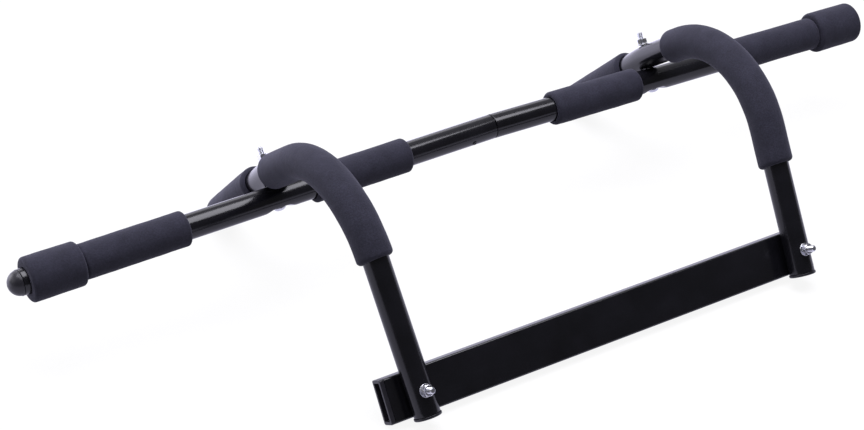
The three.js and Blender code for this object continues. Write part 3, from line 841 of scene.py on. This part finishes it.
def bolt(name, head_rows, length, stub, matrix, axes):
    """A bolt: a head under z = 0, a plain shank and a real thread on its last stretch."""
    none = np.zeros(SMALL_AROUND)
    thread_low = length - stub - NUT_HEIGHT - 2
    rows = head_rows + [(0, none + SHANK_R + 0.3), (0.3, none + SHANK_R), (thread_low - 0.2, none + SHANK_R)]
    rows += thread_rows(thread_low, length) + [(length, none)]
    piece = lofted(f"{name}_fine", moved(from_rows(rows), matrix))
    return finish_piece(piece, axes, ZINC)


def nut(name, low, matrix, axes):
    high = low + NUT_HEIGHT
    none = np.zeros(SMALL_AROUND)
    rows = [(low + 0.6, none + HOLE_R), (low, none + HOLE_R + 0.6)]
    rows += hexagon_rows(low, high, True)
    rows += [(high, none + HOLE_R + 0.6), (high - 0.6, none + HOLE_R)]
    piece = lofted(f"{name}_fine", moved(from_rows(rows), matrix), looped=True)
    return finish_piece(piece, axes, ZINC)


def washer(name, low, matrix, axes):
    high = low + WASHER
    corners = [(low, HOLE_R, 0.2), (low, WASHER_R, 0.35), (high, WASHER_R, 0.35), (high, HOLE_R, 0.2)]
    rows = [(h, np.full(SMALL_AROUND, r)) for h, r in filleted(corners, closed=True, steps=4)]
    piece = lofted(f"{name}_fine", moved(from_rows(rows), matrix), looped=True)
    return finish_piece(piece, axes, ZINC)


def fasteners(name):
    """The bolt, washer and nut through the saddle, and those through the leg and the crossbar."""
    axes = ARM_AXES[name]
    turned = Matrix.Rotation(math.radians(NUT_TURNS[name]), 4, "Z")
    head_seat = CRIMP_DEPTH - TUBE_R - GAP
    crest = ARM_RISE + TUBE_R + CREST_GAP
    nut_low = crest + WASHER + GAP
    length = nut_low + NUT_HEIGHT + SADDLE_STUB - head_seat
    seated = Matrix.Translation((0, 0, head_seat))
    bolt(f"saddle_bolt_{name}", round_head_rows(), length, SADDLE_STUB, seated, axes)
    washer(f"saddle_washer_{name}", crest, Matrix(), axes)
    nut(f"saddle_nut_{name}", nut_low, turned, axes)

    leg_crest = TUBE_R + GAP
    leg_nut_low = leg_crest + WASHER + GAP
    bolt_seat = CROSSBAR_BACK - SKEW_GAP - LEG_Y
    outward = Matrix.Translation((0, -LEG_Y, LEG_BOLT_Z)) @ Matrix.Rotation(math.pi / 2, 4, "X")
    length = leg_nut_low + NUT_HEIGHT + LEG_STUB - bolt_seat
    seated = outward @ Matrix.Translation((0, 0, bolt_seat))
    bolt(f"crossbar_bolt_{name}", hexagon_head_rows(), length, LEG_STUB, seated, axes)
    washer(f"crossbar_washer_{name}", leg_crest, outward, axes)
    nut(f"crossbar_nut_{name}", leg_nut_low, outward @ turned, axes)


# ---- the crossbar ----


def rectangle_ring(x, inset):
    """A rounded rectangle across the crossbar at x, smaller all round by inset."""
    corner = max(CROSSBAR_CORNER - inset, 0.6)
    half_y, half_z = CROSSBAR_DEPTH / 2 - inset - corner, CROSSBAR_HEIGHT / 2 - inset - corner
    ring = []
    for quarter, (sy, sz) in enumerate(((1, 1), (-1, 1), (-1, -1), (1, -1))):
        for k in range(CORNER_STEPS + 1):
            angle = (quarter + k / CORNER_STEPS) * math.pi / 2
            ring.append((x, sy * half_y + corner * math.cos(angle), sz * half_z + corner * math.sin(angle)))
    return np.array(ring)


def rectangle_rings(rows):
    middle = np.array([0, -(CROSSBAR_FRONT + CROSSBAR_BACK) / 2, CROSSBAR_Z])
    return np.stack([rectangle_ring(x, inset) for x, inset in rows]) + middle


def crossbar():
    left, right = -CROSSBAR_ENDS["left"], CROSSBAR_ENDS["right"]
    corners = [(left, CROSSBAR_WALL, 0.2), (left, 0, 0.35), (right, 0, 0.35), (right, CROSSBAR_WALL, 0.2)]
    outline = spaced(filleted(corners, closed=True, steps=3), 30)
    piece = lofted("crossbar_fine", rectangle_rings(outline), looped=True)
    middle_y = -(CROSSBAR_FRONT + CROSSBAR_BACK) / 2
    holes = []
    for axes in ARM_AXES.values():
        crossing = BAR_AXES.inverted() @ axes @ (Vector((0, middle_y, LEG_BOLT_Z)) * MM) / MM
        through = Vector((0, CROSSBAR_DEPTH, 0))
        holes.append((crossing - through, crossing + through, LOOSE_HOLE_R))
    drilled(piece, holes)
    return finish_piece(piece, BAR_AXES, PAINT)


def crossbar_cap(name, side):
    """The plug in the crossbar's end: a soft-edged rim round a deep pocket."""
    end = CROSSBAR_ENDS[name]
    rim = end + GAP
    face = rim + CROSSBAR_CAP
    spigot = CROSSBAR_WALL + GAP
    inner = end - CROSSBAR_SPIGOT
    bottom = face - CROSSBAR_POCKET
    corners = [(inner, 4, 0), (inner, spigot, 0.5), (rim, spigot, 0), (rim, 0, 0.3)]
    corners += [(face, 0, 0.6), (face, CROSSBAR_RIM, 0.4), (bottom, CROSSBAR_RIM, 0.6)]
    outline = filleted(corners + [(bottom, 4.5, 0)], steps=5)
    outline[:, 0] *= side
    piece = lofted(f"crossbar_cap_{name}_fine", rectangle_rings(outline), capped=True)
    return finish_piece(piece, BAR_AXES, PLASTIC, 40)


# ---- assembly ----


def build_object():
    at = Vector((SCREW_X, 0, 0))
    screw_hole = (at, at + screw_direction() * 2 * TUBE_R, SCREW_HOLE_R)
    left_end, right_start = SEAM_X - SEAM_GAP / 2, SEAM_X + SEAM_GAP / 2
    left_x, right_x = ARMS["left"]["x"], ARMS["right"]["x"]
    main_tube("main_tube_left", -TUBE_END, left_end, left_x, [screw_hole], HALVES["left"])
    main_tube("main_tube_right", right_start, TUBE_END, right_x, [], HALVES["right"])
    joint_screw()
    joint_insert()
    crossbar()
    along_y, along_z = HANDLE_LENGTH * math.cos(HANDLE_DROOP), HANDLE_LENGTH * math.sin(HANDLE_DROOP)
    handle_end = Matrix.Translation((0, along_y, ARM_RISE - along_z))
    backward = handle_end @ Matrix.Rotation(-math.pi / 2 - HANDLE_DROOP, 4, "X")
    down = Matrix.Translation((0, -LEG_Y, LEG_END)) @ Matrix.Rotation(math.pi, 4, "X")
    for name, side in SIDES.items():
        end_cap(f"end_cap_{name}", side, HALVES[name])
        bar_foam(name, side)
        arm_tube(name)
        arm_foam(name, side)
        tube_plug(f"handle_plug_{name}", *HANDLE_PLUG, backward, ARM_AXES[name])
        tube_plug(f"leg_plug_{name}", *LEG_PLUG, down, ARM_AXES[name])
        fasteners(name)
        crossbar_cap(name, side)


# ---- stage, light and camera ----


FLOOR_REACH = 6
FLOOR_Z = -0.0002
FLOOR_GREY = 0.12
FLOOR_SEEN = 0.90  # glow of the floor for the camera
FLOOR_LIGHT = 0.28  # and as light on the object
FLOOR_MIRRORED = 0.76  # and in the glossy paint, near the camera
FLOOR_MIRRORED_FAR = 2.2  # and behind the object
MIRROR_NEAR, MIRROR_FAR = 0.08, 0.42  # the Y between which it changes
MIRROR_TINT = (0.80, 0.78, 1.0)  # of the floor in the paint

ROOM_DIRECTION = (0, 0.86, 0.51)  # to the back and up
ROOM_DIM = 0.10
ROOM_PALE = 0.55
ROOM_DIM_BELOW = 0.15  # how far a direction points that way, from -1 to 1
ROOM_PALE_ABOVE = 0.75

LIGHT_TINT = (0.92, 0.91, 1.0)
BACK_POWER = 30
TOP_POWER = 62
LEFT_POWER = 7
CARD_POWER = 22

LENS = 88.44  # millimetres
# in the bar's own axes, the place in metres
CAMERA_PLACE = (-1.00279, -1.87876, 0.07613)
CAMERA_FORWARD = (0.44333, 0.89392, -0.06605)
CAMERA_UP = (0.28138, -0.06882, 0.95713)


def floor():
    """A plain white sheet that keeps only faint shadows and lights the object softly.

    In the glossy paint it is a little violet, and brighter behind the object.
    """
    mesh = bpy.data.meshes.new("floor")
    reach = FLOOR_REACH
    corners = [(-reach, -reach), (reach, -reach), (reach, reach), (-reach, reach)]
    mesh.from_pydata([(x, y, FLOOR_Z) for x, y in corners], [], [(0, 1, 2, 3)])
    sheet = bpy.data.objects.new("floor", mesh)
    bpy.context.collection.objects.link(sheet)
    material = bpy.data.materials.new("white_floor")
    material.use_nodes = True
    nodes, links = material.node_tree.nodes, material.node_tree.links
    nodes.clear()
    matt = nodes.new("ShaderNodeBsdfDiffuse")
    matt.inputs["Color"].default_value = (FLOOR_GREY, FLOOR_GREY, FLOOR_GREY, 1)
    glow = nodes.new("ShaderNodeEmission")
    ray = nodes.new("ShaderNodeLightPath")
    tint = nodes.new("ShaderNodeMix")
    tint.data_type = "RGBA"
    tint.inputs[6].default_value = (1, 1, 1, 1)
    tint.inputs[7].default_value = (*MIRROR_TINT, 1)
    seen = nodes.new("ShaderNodeMapRange")
    seen.inputs["To Min"].default_value = FLOOR_LIGHT
    seen.inputs["To Max"].default_value = FLOOR_SEEN
    mirrored = nodes.new("ShaderNodeMapRange")
    places = nodes.new("ShaderNodeTexCoord")
    axes = nodes.new("ShaderNodeSeparateXYZ")
    backwards = nodes.new("ShaderNodeMapRange")
    backwards.inputs["From Min"].default_value = MIRROR_NEAR
    backwards.inputs["From Max"].default_value = MIRROR_FAR
    backwards.inputs["To Min"].default_value = FLOOR_MIRRORED
    backwards.inputs["To Max"].default_value = FLOOR_MIRRORED_FAR
    links.new(places.outputs["Object"], axes.inputs[0])
    links.new(axes.outputs["Y"], backwards.inputs["Value"])
    links.new(backwards.outputs["Result"], mirrored.inputs["To Max"])
    both = nodes.new("ShaderNodeAddShader")
    out = nodes.new("ShaderNodeOutputMaterial")
    links.new(ray.outputs["Is Camera Ray"], seen.inputs["Value"])
    links.new(ray.outputs["Is Glossy Ray"], mirrored.inputs["Value"])
    links.new(ray.outputs["Is Glossy Ray"], tint.inputs[0])
    links.new(tint.outputs[2], glow.inputs["Color"])
    links.new(seen.outputs["Result"], mirrored.inputs["To Min"])
    links.new(mirrored.outputs["Result"], glow.inputs["Strength"])
    links.new(matt.outputs[0], both.inputs[0])
    links.new(glow.outputs[0], both.inputs[1])
    links.new(both.outputs[0], out.inputs["Surface"])
    mesh.materials.append(material)


def softbox(name, place, size, power, only_mirrored=False, target=(0, 0, 0.1)):
    """A rectangular area light that looks at target. It can be a card that only shows as it is mirrored."""
    light = bpy.data.lights.new(name, "AREA")
    light.shape = "RECTANGLE"
    light.size, light.size_y = size
    light.energy = power
    light.color = LIGHT_TINT
    lamp = bpy.data.objects.new(name, light)
    lamp.visible_diffuse = not only_mirrored
    lamp.location = place
    lamp.rotation_euler = (Vector(target) - Vector(place)).to_track_quat("-Z", "Y").to_euler()
    bpy.context.collection.objects.link(lamp)


def studio():
    """A room that is pale behind and over the object and dim on the side that it is seen from."""
    world = bpy.data.worlds.new("studio")
    world.use_nodes = True
    nodes, links = world.node_tree.nodes, world.node_tree.links
    direction = nodes.new("ShaderNodeTexCoord").outputs["Generated"]
    towards_back = nodes.new("ShaderNodeVectorMath")
    towards_back.operation = "DOT_PRODUCT"
    towards_back.inputs[1].default_value = ROOM_DIRECTION
    level = nodes.new("ShaderNodeMapRange")
    level.interpolation_type = "SMOOTHSTEP"
    level.inputs["From Min"].default_value = ROOM_DIM_BELOW
    level.inputs["From Max"].default_value = ROOM_PALE_ABOVE
    level.inputs["To Min"].default_value = ROOM_DIM
    level.inputs["To Max"].default_value = ROOM_PALE
    links.new(direction, towards_back.inputs[0])
    links.new(towards_back.outputs["Value"], level.inputs["Value"])
    links.new(level.outputs["Result"], nodes["Background"].inputs["Strength"])
    nodes["Background"].inputs["Color"].default_value = (*LIGHT_TINT, 1)
    bpy.context.scene.world = world
    bpy.context.scene.view_settings.view_transform = "Standard"


def lighting():
    softbox("back", (0.2, 3.0, 1.3), (5.0, 1.6), BACK_POWER)
    softbox("top", (0.1, 0.1, 2.2), (2.4, 1.4), TOP_POWER)
    softbox("left", (-2.4, 0.4, 1.3), (1.6, 1.6), LEFT_POWER)
    softbox("card", (-1.9, 2.1, 0.75), (1.5, 1.3), CARD_POWER, only_mirrored=True)


def camera():
    """Looks at the object from its left end and above."""
    lens = bpy.data.cameras.new("camera")
    lens.sensor_width = 36
    lens.lens = LENS
    lens.clip_start, lens.clip_end = 0.05, 50
    eye = bpy.data.objects.new("camera", lens)
    forward = Vector(CAMERA_FORWARD).normalized()
    right = forward.cross(Vector(CAMERA_UP)).normalized()
    turn = Matrix((right, right.cross(forward), -forward)).transposed().to_4x4()
    eye.matrix_world = BAR_AXES @ Matrix.Translation(CAMERA_PLACE) @ turn
    bpy.context.collection.objects.link(eye)
    bpy.context.scene.camera = eye


build_object()
floor()
studio()
lighting()
camera()
